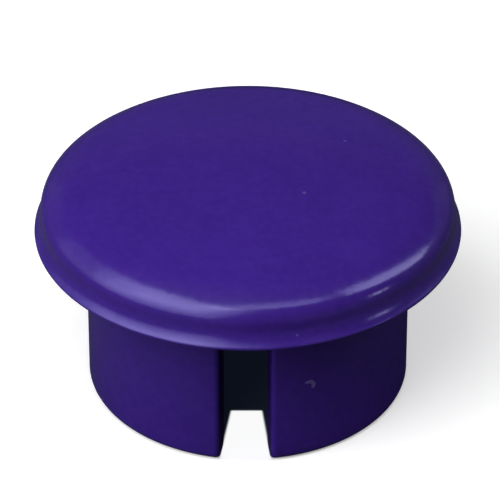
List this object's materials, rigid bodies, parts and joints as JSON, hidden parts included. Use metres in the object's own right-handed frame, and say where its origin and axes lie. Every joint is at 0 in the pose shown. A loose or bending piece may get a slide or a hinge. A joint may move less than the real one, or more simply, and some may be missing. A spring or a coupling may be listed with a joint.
{
  "type": "internal dome cap",
  "caption": "Moulded plastic pipe end cap: a shallow domed head with a rounded shoulder and flared lip over a hollow, slotted plug that presses into the pipe's bore.",
  "frame": {"origin": "centre of the plug's foot, on the cap's axis, in the plane that the cap stands on", "axes": "+Z along the cap's axis towards the dome; one slot opens towards -Y"},
  "size_m": [0.0276, 0.0276, 0.0154],
  "materials": {
    "cap_plastic": "satin"
  },
  "bodies": {
    "root": {"dome_cap": "cap_plastic"}
  },
  "joints": []
}
